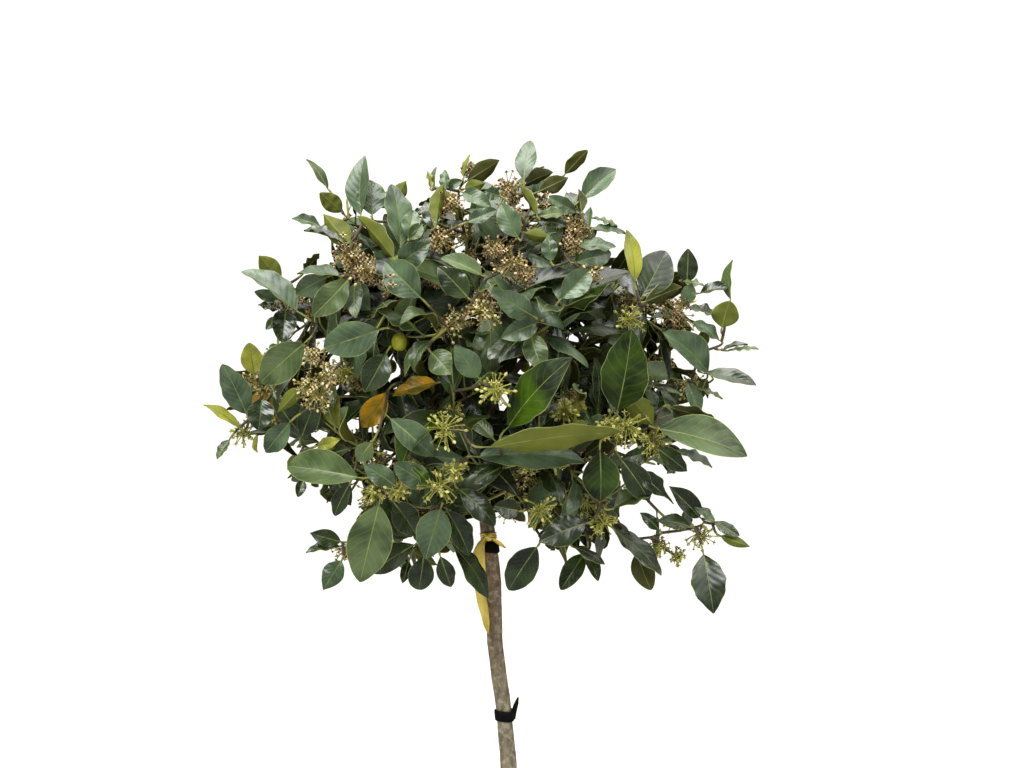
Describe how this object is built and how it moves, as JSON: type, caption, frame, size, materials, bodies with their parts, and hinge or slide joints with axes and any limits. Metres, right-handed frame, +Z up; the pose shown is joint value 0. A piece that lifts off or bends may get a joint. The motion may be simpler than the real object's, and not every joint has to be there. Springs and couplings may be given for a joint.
{
  "type": "standard holly topiary",
  "caption": "Half-standard evergreen holly: one clear leaning stem under a loose round crown of leathery leaves in blossom.",
  "frame": {"origin": "middle of the flat cut under the stem, at ground level", "axes": "+Z up, +X to the right of the front view, +Y away from the viewer"},
  "size_m": [0.5651, 0.524, 1.2061],
  "materials": {
    "bark": "smooth grey-brown bark with pale pores",
    "foliage": "glossy dark green leathery leaves with a pale midrib and olive undersides",
    "strap": "matt black strap",
    "ribbon": "bare yellow ribbon with a soft sheen"
  },
  "bodies": {
    "root": {"stem": "bark", "bough_top": "bark", "bough_upper_front": "bark", "bough_upper_right": "bark", "bough_upper_back_right": "bark", "bough_upper_back_left": "bark", "bough_upper_left": "bark", "bough_lower_front_right": "bark", "bough_lower_right": "bark", "bough_lower_back": "bark", "bough_lower_left": "bark", "bough_lower_front_left": "bark", "foliage_top": "foliage", "foliage_upper_front": "foliage", "foliage_upper_right": "foliage", "foliage_upper_back_right": "foliage", "foliage_upper_back_left": "foliage", "foliage_upper_left": "foliage", "foliage_lower_front_right": "foliage", "foliage_lower_right": "foliage", "foliage_lower_back": "foliage", "foliage_lower_left": "foliage", "foliage_lower_front_left": "foliage", "tie_strap_upper": "strap", "tie_strap_lower": "strap", "label_ribbon": "ribbon"}
  },
  "joints": []
}
